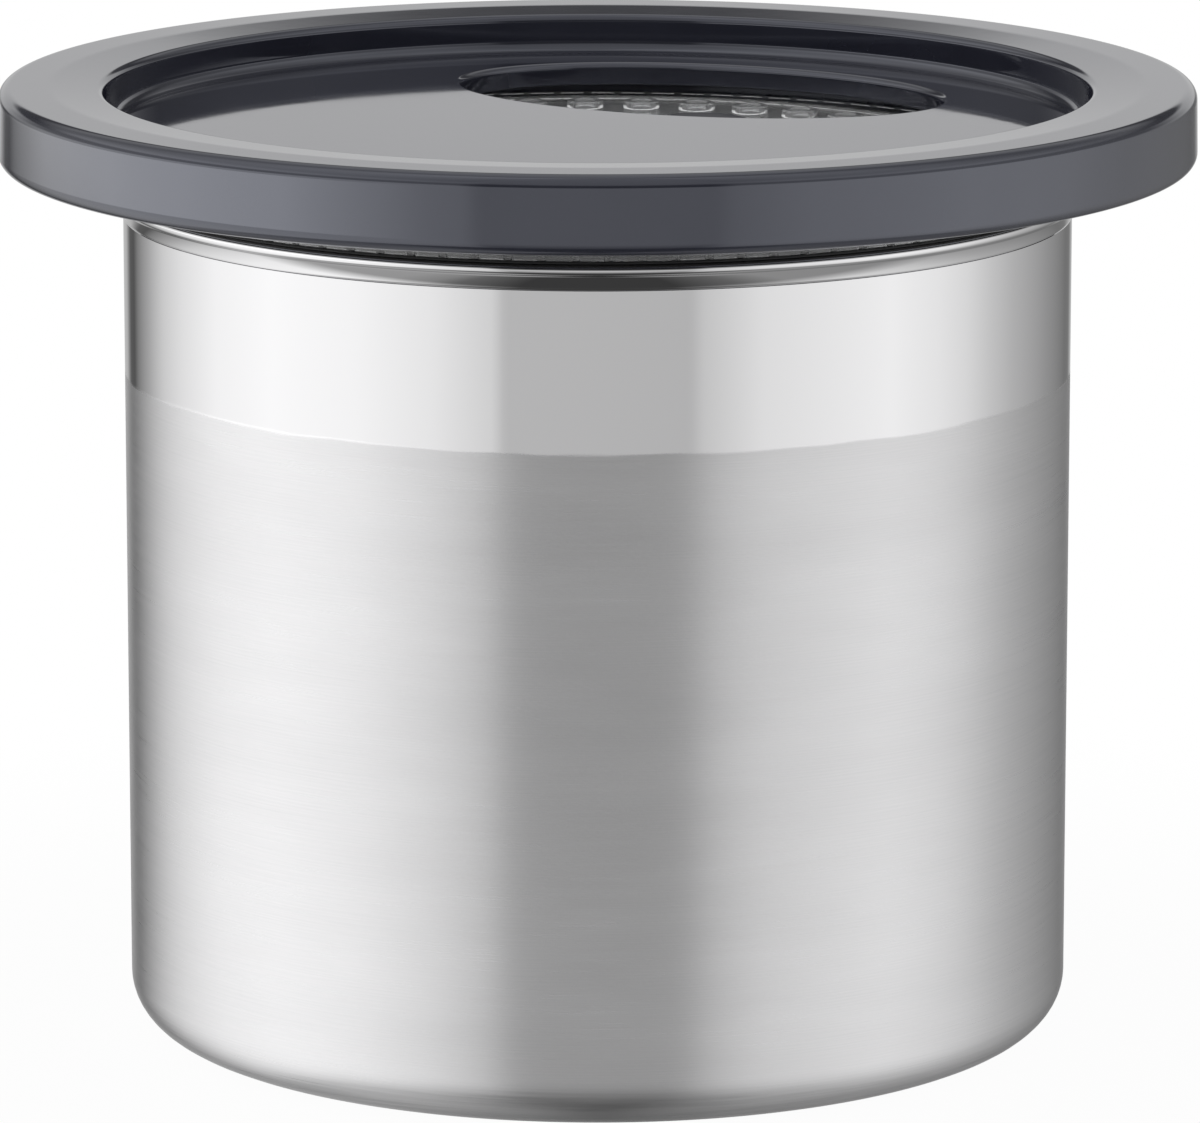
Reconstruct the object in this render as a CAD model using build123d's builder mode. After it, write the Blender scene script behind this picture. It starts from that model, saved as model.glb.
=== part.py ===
from build123d import *
import math
import os

# Vacuum seal canister: a steel can with a plug lid, whose turning cover works a small air pump.
# Millimetres. The origin is the centre of the can's base, on the surface that it stands on.
# +Z is up, and the oval window in the cover lies towards +Y.

quarter_turn = 90

# Sizes shared by all pieces
cut_overrun = 1.0
running_clearance = 0.06
body_gap = 0.3
slip_clearance = 0.05

# Can
can_radius = 50.0
can_height = 90.1
can_wall = 0.7
base_corner_radius = 5.5
base_push_up = 1.5
base_ring_width = 4.0
base_slope_width = 2.0
rim_bead_radius = 0.6
rim_flare_height = 2.4
rim_flare_step = 0.8

# Clear inner lid: plate, skirt, window detail
seat_gap = 0.05
seat_gasket_thickness = 0.25
seat_gasket_width = 1.7
plate_thickness = 1.7
plate_overhang = 1.4
plate_edge_fillet = 0.35
skirt_wall = 2.0
skirt_gap = 2.1
boss_count = 40
boss_radius = 2.0
boss_hole_radius = 1.1
boss_height = 0.8
boss_edge_fillet = 0.25
boss_ring_inset = 9.8
plate_rib_width = 0.6
plate_rib_height = 0.4
vent_count = 6
vent_radius = 1.2

# Lip seal round the plug and the ledges that hold it
rim_gasket_drop = 5.0
rim_gasket_height = 5.0
rim_gasket_body = 1.1
rim_lip_height = 0.7
rim_lip_gap = 0.15
rim_lip_shares = (0.28, 0.72)
gasket_ledge_height = 1.2
gasket_ledge_width = 1.2

# Cover
cover_gap = 1.8
cover_disc_thickness = 2.5
recess_depth = 4.5
recess_clearance = 1.8
flange_width = 11.3
flange_height = 8.1
flange_wall = 2.2
flange_top_fillet = 1.7
flange_crest_width = 2.5
flange_inner_drop = 0.7
flange_edge_fillet = 0.4
fillet_limit_share = 0.95
flange_bottom_fillet = 1.1
recess_cove_radius = 1.3
inner_wall_lap = 0.6
cover_rib_count = 24
cover_rib_thickness = 1.4
cover_rib_rise = 2.0

# Oval window in the cover
window_half_width = 27.4
window_back_margin = 7.8
window_front_margin = 2.2
window_edge_fillet = 0.7

# Drive: sleeve, pin, clip and washer
pump_stroke = 6.0
pump_turn = 90.0
slot_steps = 12
stem_radius = 4.0
pin_radius = 1.25
pin_slot_clearance = 0.2
pin_end_inset = 0.5
pin_cover = 4.0
sleeve_wall = 2.34
guide_tube_wall = 1.94
slot_land = 0.7
sleeve_flange_radius = 13.5
sleeve_flange_thickness = 1.2
sleeve_window_clearance = 1.0
stake_count = 3
stake_radius = 1.1
stake_circle_radius = 10.6
stake_first_angle = 30.0
clip_thickness = 0.8
clip_depth = 0.8
clip_width = 2.15
clip_gap = 0.2
clip_opening = 80.0
sleeve_end_land = 0.7
washer_thickness = 0.4
washer_width = 2.6

# Pump: barrel, piston and valves
barrel_gap = 2.2
barrel_wall = 1.5
flat_seal_thickness = 0.6
flat_seal_inset = 0.2
crown_clearance = 0.4
crown_thickness = 3.0
crown_floor_gap = 0.4
crown_recess_depth = 1.3
crown_headroom = 1.7
piston_seal_height = 1.9
piston_seal_depth = 1.95
piston_seal_gap = 0.08
exhaust_hole_count = 6
exhaust_hole_radius = 0.8
flap_lap = 1.2
flap_thickness = 0.5
retainer_width = 2.0
retainer_height = 0.8

# Plug floor, intake valve and filter
floor_thickness = 2.5
intake_hole_count = 6
intake_hole_radius = 0.8
intake_circle_share = 0.56
umbrella_share = 0.4
umbrella_clearance = 1.7
umbrella_rim = 0.3
umbrella_height = 1.0
umbrella_stem_radius = 1.1
umbrella_bulb_radius = 1.5
umbrella_bulb_height = 0.9
collar_radius = 12.3
collar_wall = 1.5
collar_height = 2.5
filter_cap_wall = 1.2
filter_cap_thickness = 1.0
filter_screen_thickness = 0.4
filter_hole_radius = 0.7
filter_hole_rings = 3
filter_ring_pitch = 2.8
filter_holes_per_ring = 6

# Floor screws
screw_count = 4
screw_circle_inset = 13.2
screw_first_angle = 45.0
screw_radius = 1.3
screw_head_radius = 2.7
screw_head_height = 1.5
screw_length = 10.0
screw_post_radius = 3.2
screw_slot_width = 0.8
screw_slot_depth = 0.6

# Release valve
button_radius = 5.5
button_well_clearance = 0.3
button_proud = 1.0
button_edge_fillet = 0.6
button_flange_width = 1.1
button_flange_height = 1.0
button_roof = 1.2
button_skirt_wall = 0.8
release_stroke = 1.5
release_rod_radius = 1.5
release_head_radius = 3.6
release_head_height = 1.2
release_seal_height = 0.8
release_boss_radius = 4.5
release_boss_height = 8.0
release_chamber_radius = 2.6
release_chamber_height = 4.0
release_port_radius = 0.8
spring_radius = 3.2
spring_wire_radius = 0.25
spring_turns = 7
spring_end_gap = 0.1

# Radii that follow from the sizes above
can_bore = can_radius - can_wall
base_ring_outer = can_radius - base_corner_radius
base_ring_inner = base_ring_outer - base_ring_width
bead_centre_radius = can_radius + rim_flare_step - can_wall / 2
plate_radius = can_radius + plate_overhang
skirt_radius = can_bore - skirt_gap
skirt_bore = skirt_radius - skirt_wall
boss_ring_radius = can_bore - boss_ring_inset
recess_radius = can_radius + recess_clearance
cover_radius = recess_radius + flange_width
crest_radius = cover_radius - flange_top_fillet - flange_crest_width
sleeve_bore = stem_radius + running_clearance
sleeve_radius = sleeve_bore + sleeve_wall
window_front = sleeve_radius + window_front_margin
window_back = recess_radius - window_back_margin
window_centre = (window_front + window_back) / 2
window_half_depth = (window_back - window_front) / 2
guide_bore = sleeve_radius + running_clearance
guide_radius = guide_bore + guide_tube_wall
slot_radius = pin_radius + pin_slot_clearance
button_well_radius = button_radius + button_well_clearance
button_flange_radius = button_radius + button_flange_width
barrel_outer = window_centre - button_flange_radius - barrel_gap
barrel_radius = barrel_outer - barrel_wall
crown_radius = barrel_radius - crown_clearance
seal_groove_radius = crown_radius - piston_seal_depth
umbrella_radius = umbrella_share * barrel_radius
intake_circle_radius = intake_circle_share * umbrella_radius
crown_recess_radius = umbrella_radius + umbrella_clearance
exhaust_circle_radius = (crown_recess_radius + seal_groove_radius) / 2
flap_radius = exhaust_circle_radius + exhaust_hole_radius + flap_lap
vent_circle_radius = (guide_radius + barrel_radius) / 2
screw_circle_radius = skirt_radius - screw_circle_inset

# Heights that follow, from the can's rim up
bead_centre_z = can_height - rim_bead_radius
flare_z = bead_centre_z - rim_flare_height
seat_gasket_z = can_height + seat_gap
plate_z = seat_gasket_z + seat_gasket_thickness
plate_top = plate_z + plate_thickness
disc_z = plate_top + cover_gap
disc_top = disc_z + cover_disc_thickness
cover_top = disc_top + recess_depth
cover_z = cover_top - flange_height
inner_edge_z = cover_top - flange_inner_drop
inner_wall_z = plate_top - inner_wall_lap
sleeve_flange_z = disc_z - sleeve_flange_thickness

# Heights that follow, from the clear plate down to the filter
pin_top_z = plate_z - slot_land - slot_radius
pin_z = pin_top_z - pump_stroke
guide_z = pin_z - slot_radius - slot_land
clip_top = guide_z - clip_gap
clip_z = clip_top - clip_thickness
sleeve_z = clip_z - sleeve_end_land
retainer_z = sleeve_z - crown_headroom - pump_stroke - retainer_height
crown_top = retainer_z - flap_thickness
crown_z = crown_top - crown_thickness
floor_top = crown_z - crown_floor_gap
floor_z = floor_top - floor_thickness
plug_z = floor_top + flat_seal_thickness
collar_z = floor_z - collar_height
filter_cap_z = collar_z - filter_cap_thickness
stem_top = pin_z + pin_cover
rim_gasket_top = plate_z - rim_gasket_drop
rim_gasket_z = rim_gasket_top - rim_gasket_height

# Heights of the release valve
button_top = plate_top + button_proud
button_flange_top = plate_z - body_gap
button_z = button_flange_top - button_flange_height
rod_top = button_top - button_roof
release_seal_top = floor_z - body_gap
release_head_top = release_seal_top - release_seal_height
release_head_z = release_head_top - release_head_height
release_boss_top = floor_top + release_boss_height
release_chamber_top = floor_top + release_chamber_height
button_skirt_z = release_boss_top + release_stroke + slip_clearance
spring_z = release_boss_top + spring_end_gap + spring_wire_radius
spring_height = button_z - spring_end_gap - spring_wire_radius - spring_z

pump_angle_step = pump_turn / slot_steps
pump_rise_step = pump_stroke / slot_steps


def corner(r, z):
    """The sketch's own corner nearest to a radius and a height."""
    return vertices().sort_by_distance((r, z, 0))[0]


def ring(r_in, r_out, z_low, z_high, mode=Mode.ADD):
    """A flat ring about the vertical axis, or a disc where the inner radius is zero."""
    with BuildSketch(Plane.XZ) as outline:
        with BuildLine():
            Polyline((r_in, z_low), (r_out, z_low), (r_out, z_high), (r_in, z_high), close=True)
        make_face()
    revolve(outline.sketch, axis=Axis.Z, mode=mode)


def upright_holes(radius, z_low, z_high, places):
    """Round holes cut straight down between two heights at a set of places."""
    with BuildSketch(Plane.XY.offset(z_low)) as outline:
        with places:
            Circle(radius)
    extrude(outline.sketch, amount=z_high - z_low, mode=Mode.SUBTRACT)


# Can: drawn steel, with a pushed-up base, a flared mouth and a rolled bead
with BuildPart() as can_body:
    inner_corner = base_corner_radius - can_wall
    with BuildSketch(Plane.XZ):
        with BuildLine():
            Polyline(
                (0, base_push_up + can_wall),
                (0, base_push_up),
                (base_ring_inner - base_slope_width, base_push_up),
                (base_ring_inner, 0),
                (base_ring_outer, 0),
            )
            RadiusArc((base_ring_outer, 0), (can_radius, base_corner_radius), -base_corner_radius)
            Polyline(
                (can_radius, base_corner_radius),
                (can_radius, flare_z),
                (can_radius + rim_flare_step, bead_centre_z),
                (can_bore + rim_flare_step, bead_centre_z),
                (can_bore, flare_z),
                (can_bore, base_corner_radius),
            )
            RadiusArc((can_bore, base_corner_radius), (base_ring_outer, can_wall), inner_corner)
            Polyline(
                (base_ring_outer, can_wall),
                (base_ring_inner, can_wall),
                (base_ring_inner - base_slope_width, base_push_up + can_wall),
                (0, base_push_up + can_wall),
            )
        make_face()
        with Locations((bead_centre_radius, bead_centre_z)):
            Circle(rim_bead_radius)
    revolve(axis=Axis.Z)
can_body.part.label = "can_body"


# Clear inner lid: plate, plug skirt, guide tube, screw posts and the ring of hollow bosses
with BuildPart() as inner_lid:
    ring(0, plate_radius, plate_z, plate_top)
    fillet(edges().filter_by(GeomType.CIRCLE).group_by(SortBy.RADIUS)[-1], plate_edge_fillet)
    ring(skirt_bore, skirt_radius, plug_z, plate_z)
    for ledge_z in (rim_gasket_top, rim_gasket_z - gasket_ledge_height):
        ring(skirt_bore, skirt_radius + gasket_ledge_width, ledge_z, ledge_z + gasket_ledge_height)
    ring(skirt_bore, skirt_bore + plate_rib_width, plate_top, plate_top + plate_rib_height)
    with BuildSketch(Plane.XY.offset(plate_top)):
        with PolarLocations(boss_ring_radius, boss_count):
            Circle(boss_radius)
    extrude(amount=boss_height)
    fillet(edges().group_by(Axis.Z)[-1], boss_edge_fillet)
    upright_holes(
        boss_hole_radius, plate_top, plate_top + boss_height, PolarLocations(boss_ring_radius, boss_count)
    )
    with BuildSketch(Plane.XY.offset(floor_top)):
        with PolarLocations(screw_circle_radius, screw_count, start_angle=screw_first_angle):
            Circle(screw_post_radius)
    extrude(amount=plate_z - floor_top)
    upright_holes(
        screw_radius + slip_clearance,
        floor_top,
        floor_top + screw_length + cut_overrun,
        PolarLocations(screw_circle_radius, screw_count, start_angle=screw_first_angle),
    )
    ring(0, guide_radius, guide_z, plate_z)
    ring(0, guide_bore, guide_z, plate_top, mode=Mode.SUBTRACT)
    with BuildSketch(Plane.YZ):
        with Locations((0, (pin_z + pin_top_z) / 2)):
            SlotCenterToCenter(pump_stroke, 2 * slot_radius, rotation=quarter_turn)
    extrude(amount=guide_radius + cut_overrun, both=True, mode=Mode.SUBTRACT)
    upright_holes(
        vent_radius, plate_z, plate_top, PolarLocations(vent_circle_radius, vent_count)
    )
    upright_holes(button_well_radius, plate_z, plate_top, Locations((0, window_centre)))
inner_lid.part.label = "inner_lid"


# Flat gasket that the clear lid lands on the bead with
with BuildPart() as seat_gasket:
    ring(
        bead_centre_radius - seat_gasket_width / 2,
        bead_centre_radius + seat_gasket_width / 2,
        seat_gasket_z,
        plate_z,
    )
seat_gasket.part.label = "seat_gasket"


# Lip seal round the skirt, which reaches almost to the can's wall
with BuildPart() as rim_gasket:
    ring(skirt_radius, skirt_radius + rim_gasket_body, rim_gasket_z, rim_gasket_top)
    for lip_share in rim_lip_shares:
        lip_z = rim_gasket_z + lip_share * rim_gasket_height - rim_lip_height / 2
        ring(skirt_radius, can_bore - rim_lip_gap, lip_z, lip_z + rim_lip_height)
rim_gasket.part.label = "rim_gasket"


# Cover: recess disc, hollow flange with ribs, oval window and the stakes for the drive sleeve.
# The flange's inner wall reaches down past the clear plate's edge, so no light comes in between them.
with BuildPart() as lid_cover:
    with BuildSketch(Plane.XZ):
        with BuildLine():
            Polyline(
                (recess_radius, inner_edge_z),
                (recess_radius, disc_top),
                (0, disc_top),
                (0, disc_z),
                (recess_radius, disc_z),
                (recess_radius, inner_wall_z),
                (recess_radius + flange_wall, inner_wall_z),
                (recess_radius + flange_wall, cover_top - flange_wall),
                (cover_radius - flange_wall, cover_top - flange_wall),
                (cover_radius - flange_wall, cover_z),
                (cover_radius, cover_z),
                (cover_radius, cover_top),
                (crest_radius, cover_top),
            )
            TangentArc((crest_radius, cover_top), (recess_radius, inner_edge_z), tangent=(-1, 0))
        make_face()
        fillet(corner(cover_radius, cover_top), flange_top_fillet)
        fillet(corner(cover_radius, cover_z), flange_bottom_fillet)
        cove_radius = min(recess_cove_radius, recess_depth / 2)
        edge_fillet = min(flange_edge_fillet, fillet_limit_share * (inner_edge_z - disc_top - cove_radius))
        fillet(corner(recess_radius, disc_top), cove_radius)
        fillet(corner(recess_radius, inner_edge_z), edge_fillet)
    revolve(axis=Axis.Z)
    rib_z = cover_z + cover_rib_rise
    rib_length = flange_width - 2 * flange_wall + slip_clearance
    with BuildSketch(Plane.XY.offset(rib_z)):
        with PolarLocations(recess_radius + flange_width / 2, cover_rib_count):
            Rectangle(rib_length, cover_rib_thickness)
    extrude(amount=cover_top - flange_wall - rib_z)
    with BuildSketch(Plane.XY.offset(disc_z)):
        with Locations((0, window_centre)):
            Ellipse(window_half_width, window_half_depth)
    extrude(amount=cover_disc_thickness, mode=Mode.SUBTRACT)
    window_edges = edges().filter_by(GeomType.ELLIPSE)
    fillet(window_edges.group_by(Axis.Z)[-1], min(window_edge_fillet, cover_disc_thickness / 3))
    with BuildSketch(Plane.XY.offset(sleeve_flange_z)):
        with PolarLocations(stake_circle_radius, stake_count, start_angle=stake_first_angle):
            Circle(stake_radius)
    extrude(amount=sleeve_flange_thickness)
lid_cover.part.label = "lid_cover"


# Drive sleeve: a tube with two helical slots and a flange that is staked to the cover
with BuildPart() as cam_sleeve:
    ring(sleeve_bore, sleeve_radius, sleeve_z, disc_z)
    ring(sleeve_bore, sleeve_flange_radius, sleeve_flange_z, disc_z)
    ring(sleeve_radius - clip_depth, sleeve_radius, clip_z, clip_top, mode=Mode.SUBTRACT)
    with BuildSketch(Plane.XY.offset(sleeve_flange_z)):
        with Locations((0, window_centre)):
            Ellipse(
                window_half_width + sleeve_window_clearance,
                window_half_depth + sleeve_window_clearance,
            )
        Circle(sleeve_radius, mode=Mode.SUBTRACT)
    extrude(amount=sleeve_flange_thickness, mode=Mode.SUBTRACT)
    upright_holes(
        stake_radius + slip_clearance,
        sleeve_flange_z,
        disc_z,
        PolarLocations(stake_circle_radius, stake_count, start_angle=stake_first_angle),
    )
    for step in range(slot_steps + 1):
        slot_plane = Plane(
            origin=(0, 0, pin_z + step * pump_rise_step),
            x_dir=(0, 0, 1),
            z_dir=Vector(1, 0, 0).rotate(Axis.Z, -step * pump_angle_step),
        )
        with BuildSketch(slot_plane):
            Circle(slot_radius)
        extrude(amount=sleeve_radius + cut_overrun, both=True, mode=Mode.SUBTRACT)
cam_sleeve.part.label = "cam_sleeve"


# Open ring that snaps into the sleeve's groove under the guide tube
with BuildPart() as retaining_clip:
    clip_inner = sleeve_radius - clip_depth + slip_clearance
    ring(clip_inner, clip_inner + clip_width, clip_z, clip_top)
    with BuildSketch(Plane.XY.offset(clip_z)):
        with BuildLine():
            reach = 2 * (clip_inner + clip_width)
            half_opening = math.radians(clip_opening / 2)
            Polyline(
                (0, 0),
                (-reach * math.cos(half_opening), -reach * math.sin(half_opening)),
                (-reach * math.cos(half_opening), reach * math.sin(half_opening)),
                close=True,
            )
        make_face()
    extrude(amount=clip_thickness, mode=Mode.SUBTRACT)
retaining_clip.part.label = "retaining_clip"


# Slip washer under the sleeve's flange
with BuildPart() as glide_washer:
    ring(
        sleeve_radius + running_clearance,
        sleeve_radius + running_clearance + washer_width,
        plate_top,
        plate_top + washer_thickness,
    )
glide_washer.part.label = "glide_washer"


# Pump barrel, clamped between the clear lid and its seal on the floor
with BuildPart() as pump_cylinder:
    ring(barrel_radius, barrel_outer, plug_z, plate_z)
pump_cylinder.part.label = "pump_cylinder"

with BuildPart() as cylinder_seal:
    ring(barrel_radius, barrel_outer, floor_top, plug_z)
cylinder_seal.part.label = "cylinder_seal"


# Piston: crown with a seal groove, exhaust holes and a recess for the umbrella valve, and its stem
with BuildPart() as piston:
    crown_middle = (crown_z + crown_top) / 2
    groove_half = piston_seal_height / 2 + slip_clearance
    ring(0, crown_radius, crown_z, crown_top)
    ring(0, stem_radius, crown_top, stem_top)
    ring(0, crown_recess_radius, crown_z, crown_z + crown_recess_depth, mode=Mode.SUBTRACT)
    ring(
        seal_groove_radius,
        crown_radius,
        crown_middle - groove_half,
        crown_middle + groove_half,
        mode=Mode.SUBTRACT,
    )
    upright_holes(
        exhaust_hole_radius, crown_z, crown_top, PolarLocations(exhaust_circle_radius, exhaust_hole_count)
    )
    with BuildSketch(Plane.YZ):
        with Locations((0, pin_z)):
            Circle(pin_radius + slip_clearance)
    extrude(amount=stem_radius + cut_overrun, both=True, mode=Mode.SUBTRACT)
piston.part.label = "piston"

with BuildPart() as piston_seal:
    ring(
        seal_groove_radius + slip_clearance,
        barrel_radius - piston_seal_gap,
        crown_middle - piston_seal_height / 2,
        crown_middle + piston_seal_height / 2,
    )
    fillet(edges().filter_by(GeomType.CIRCLE).group_by(SortBy.RADIUS)[-1], piston_seal_height / 4)
piston_seal.part.label = "piston_seal"

with BuildPart() as exhaust_flap:
    ring(stem_radius + slip_clearance, flap_radius, crown_top, crown_top + flap_thickness)
exhaust_flap.part.label = "exhaust_flap"

with BuildPart() as flap_retainer:
    retainer_bore = stem_radius + slip_clearance
    ring(retainer_bore, retainer_bore + retainer_width, retainer_z, retainer_z + retainer_height)
flap_retainer.part.label = "flap_retainer"

with BuildPart() as cross_pin:
    pin_half_length = guide_radius - pin_end_inset
    with BuildSketch(Plane.YZ):
        with Locations((0, pin_z)):
            Circle(pin_radius)
    extrude(amount=pin_half_length, both=True)
    chamfer(edges().filter_by(GeomType.CIRCLE), pin_radius / 5)
cross_pin.part.label = "cross_pin"


# Floor of the plug: valve seat, release guide, filter collar and countersunk screw seats
with BuildPart() as plug_floor:
    ring(0, skirt_radius, floor_z, floor_top)
    ring(collar_radius, collar_radius + collar_wall, collar_z, floor_z)
    with BuildSketch(Plane.XY.offset(floor_top)):
        with Locations((0, window_centre)):
            Circle(release_boss_radius)
    extrude(amount=release_boss_height)
    upright_holes(
        release_chamber_radius, floor_z, release_chamber_top, Locations((0, window_centre))
    )
    upright_holes(
        release_rod_radius + running_clearance,
        release_chamber_top,
        release_boss_top,
        Locations((0, window_centre)),
    )
    with BuildSketch(Plane.YZ):
        with Locations((window_centre, (floor_top + release_chamber_top) / 2)):
            Circle(release_port_radius)
    extrude(amount=release_boss_radius + cut_overrun, mode=Mode.SUBTRACT)
    upright_holes(umbrella_stem_radius + slip_clearance, floor_z, floor_top, Locations((0, 0)))
    upright_holes(
        intake_hole_radius, floor_z, floor_top, PolarLocations(intake_circle_radius, intake_hole_count)
    )
    upright_holes(
        screw_radius + slip_clearance,
        floor_z,
        floor_top,
        PolarLocations(screw_circle_radius, screw_count, start_angle=screw_first_angle),
    )
    upright_holes(
        screw_head_radius + slip_clearance,
        floor_z,
        floor_z + screw_head_height,
        PolarLocations(screw_circle_radius, screw_count, start_angle=screw_first_angle),
    )
plug_floor.part.label = "plug_floor"

with BuildPart() as floor_gasket:
    ring(skirt_bore + flat_seal_inset, skirt_radius - flat_seal_inset, floor_top, plug_z)
floor_gasket.part.label = "floor_gasket"


# Four pan-head screws that clamp the floor to the posts of the clear lid
with BuildPart() as floor_screws:
    with BuildSketch(Plane.XY.offset(floor_z)):
        with PolarLocations(screw_circle_radius, screw_count, start_angle=screw_first_angle):
            Circle(screw_head_radius)
    extrude(amount=screw_head_height)
    with BuildSketch(Plane.XY.offset(floor_z)):
        with PolarLocations(screw_circle_radius, screw_count, start_angle=screw_first_angle):
            Circle(screw_radius)
    extrude(amount=floor_thickness + screw_length)
    with BuildSketch(Plane.XY.offset(floor_z)):
        with PolarLocations(screw_circle_radius, screw_count, start_angle=screw_first_angle):
            Rectangle(2 * screw_radius, screw_slot_width)
            Rectangle(screw_slot_width, 2 * screw_radius)
    extrude(amount=screw_slot_depth, mode=Mode.SUBTRACT)
floor_screws.part.label = "floor_screws"


# Umbrella check valve over the intake holes, held by the bulb on its stem
with BuildPart() as intake_valve:
    bulb_top = floor_z
    bulb_z = bulb_top - umbrella_bulb_height
    with BuildSketch(Plane.XZ):
        with BuildLine():
            Polyline(
                (0, floor_top + umbrella_height),
                (0, bulb_z),
                (umbrella_stem_radius, bulb_z),
                (umbrella_bulb_radius, bulb_top),
                (umbrella_stem_radius, bulb_top),
                (umbrella_stem_radius, floor_top),
                (umbrella_radius, floor_top),
                (umbrella_radius, floor_top + umbrella_rim),
                (umbrella_radius / 2, floor_top + (umbrella_rim + 2 * umbrella_height) / 3),
                (umbrella_stem_radius, floor_top + umbrella_height),
                (0, floor_top + umbrella_height),
            )
        make_face()
    revolve(axis=Axis.Z)
intake_valve.part.label = "intake_valve"


# Filter: a thin perforated disc, and the perforated cap that holds it in the collar
filter_bore = collar_radius - slip_clearance - filter_cap_wall
with BuildPart() as filter_screen:
    ring(0, filter_bore - slip_clearance, collar_z, collar_z + filter_screen_thickness)
    for ring_number in range(1, filter_hole_rings + 1):
        upright_holes(
            filter_hole_radius / 2,
            collar_z,
            collar_z + filter_screen_thickness,
            PolarLocations(ring_number * filter_ring_pitch, 2 * ring_number * filter_holes_per_ring),
        )
filter_screen.part.label = "filter_screen"

with BuildPart() as filter_cap:
    ring(0, collar_radius + collar_wall, filter_cap_z, collar_z)
    ring(filter_bore, filter_bore + filter_cap_wall, collar_z, floor_z - slip_clearance)
    for ring_number in range(1, filter_hole_rings + 1):
        upright_holes(
            filter_hole_radius,
            filter_cap_z,
            collar_z,
            PolarLocations(ring_number * filter_ring_pitch, ring_number * filter_holes_per_ring),
        )
filter_cap.part.label = "filter_cap"


# Release valve: button in the window, rod through the floor, soft ring on the valve head
with BuildPart() as release_button:
    with BuildSketch(Plane.XY.offset(button_z)):
        with Locations((0, window_centre)):
            Circle(button_flange_radius)
    extrude(amount=button_flange_height)
    with BuildSketch(Plane.XY.offset(button_z)):
        with Locations((0, window_centre)):
            Circle(button_radius)
    extrude(amount=button_top - button_z)
    fillet(edges().group_by(Axis.Z)[-1], button_edge_fillet)
    with BuildSketch(Plane.XY.offset(button_skirt_z)):
        with Locations((0, window_centre)):
            Circle(release_boss_radius)
            Circle(release_boss_radius - button_skirt_wall, mode=Mode.SUBTRACT)
    extrude(amount=button_z - button_skirt_z)
    upright_holes(
        release_rod_radius + slip_clearance, button_z, rod_top, Locations((0, window_centre))
    )
release_button.part.label = "release_button"

with BuildPart() as release_stem:
    with BuildSketch(Plane.XY.offset(release_head_z)):
        with Locations((0, window_centre)):
            Circle(release_head_radius)
    extrude(amount=release_head_height)
    with BuildSketch(Plane.XY.offset(release_head_top)):
        with Locations((0, window_centre)):
            Circle(release_rod_radius)
    extrude(amount=rod_top - release_head_top)
release_stem.part.label = "release_stem"

with BuildPart() as release_seal:
    with BuildSketch(Plane.XY.offset(release_head_top)):
        with Locations((0, window_centre)):
            Circle(release_head_radius)
            Circle(release_rod_radius + slip_clearance, mode=Mode.SUBTRACT)
    extrude(amount=release_seal_height)
release_seal.part.label = "release_seal"

with BuildPart() as release_spring:
    with BuildLine():
        Helix(
            pitch=spring_height / spring_turns,
            height=spring_height,
            radius=spring_radius,
            center=(0, window_centre, spring_z),
        )
    with BuildSketch(Plane(origin=(spring_radius, window_centre, spring_z), z_dir=(0, 1, 0))):
        Circle(spring_wire_radius)
    sweep(is_frenet=True)
release_spring.part.label = "release_spring"


os.makedirs("parts", exist_ok=True)
pieces = (
    can_body,
    lid_cover,
    inner_lid,
    seat_gasket,
    rim_gasket,
    cam_sleeve,
    retaining_clip,
    glide_washer,
    piston,
    piston_seal,
    cross_pin,
    exhaust_flap,
    flap_retainer,
    pump_cylinder,
    cylinder_seal,
    plug_floor,
    floor_gasket,
    floor_screws,
    intake_valve,
    filter_screen,
    filter_cap,
    release_button,
    release_stem,
    release_seal,
    release_spring,
)
for piece in pieces:
    export_step(piece.part, f"parts/{piece.part.label}.step")
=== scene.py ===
import math

import bmesh
import bpy
from mathutils import Matrix, Vector


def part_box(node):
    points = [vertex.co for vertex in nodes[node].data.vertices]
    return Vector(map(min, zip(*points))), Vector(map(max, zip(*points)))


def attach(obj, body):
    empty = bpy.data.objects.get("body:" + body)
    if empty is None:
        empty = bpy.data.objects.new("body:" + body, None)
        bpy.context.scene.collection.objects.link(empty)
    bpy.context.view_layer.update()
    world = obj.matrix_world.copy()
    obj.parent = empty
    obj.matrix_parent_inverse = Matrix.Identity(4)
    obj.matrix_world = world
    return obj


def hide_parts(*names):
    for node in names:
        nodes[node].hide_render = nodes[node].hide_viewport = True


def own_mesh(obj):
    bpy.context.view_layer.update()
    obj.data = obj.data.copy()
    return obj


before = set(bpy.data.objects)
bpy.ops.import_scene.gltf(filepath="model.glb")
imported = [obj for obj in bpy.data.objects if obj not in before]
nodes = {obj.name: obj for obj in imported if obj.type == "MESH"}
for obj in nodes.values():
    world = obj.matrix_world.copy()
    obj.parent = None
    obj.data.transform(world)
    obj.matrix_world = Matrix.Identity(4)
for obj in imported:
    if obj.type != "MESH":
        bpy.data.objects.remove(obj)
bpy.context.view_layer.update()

# Lengths are in millimetres, as on a drawing, and MM turns them into metres.
MM = 0.001


def heights_of(node):
    """A node's lowest and highest level, in millimetres."""
    low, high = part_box(node)
    return round(low.z / MM, 3), round(high.z / MM, 3)


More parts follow.
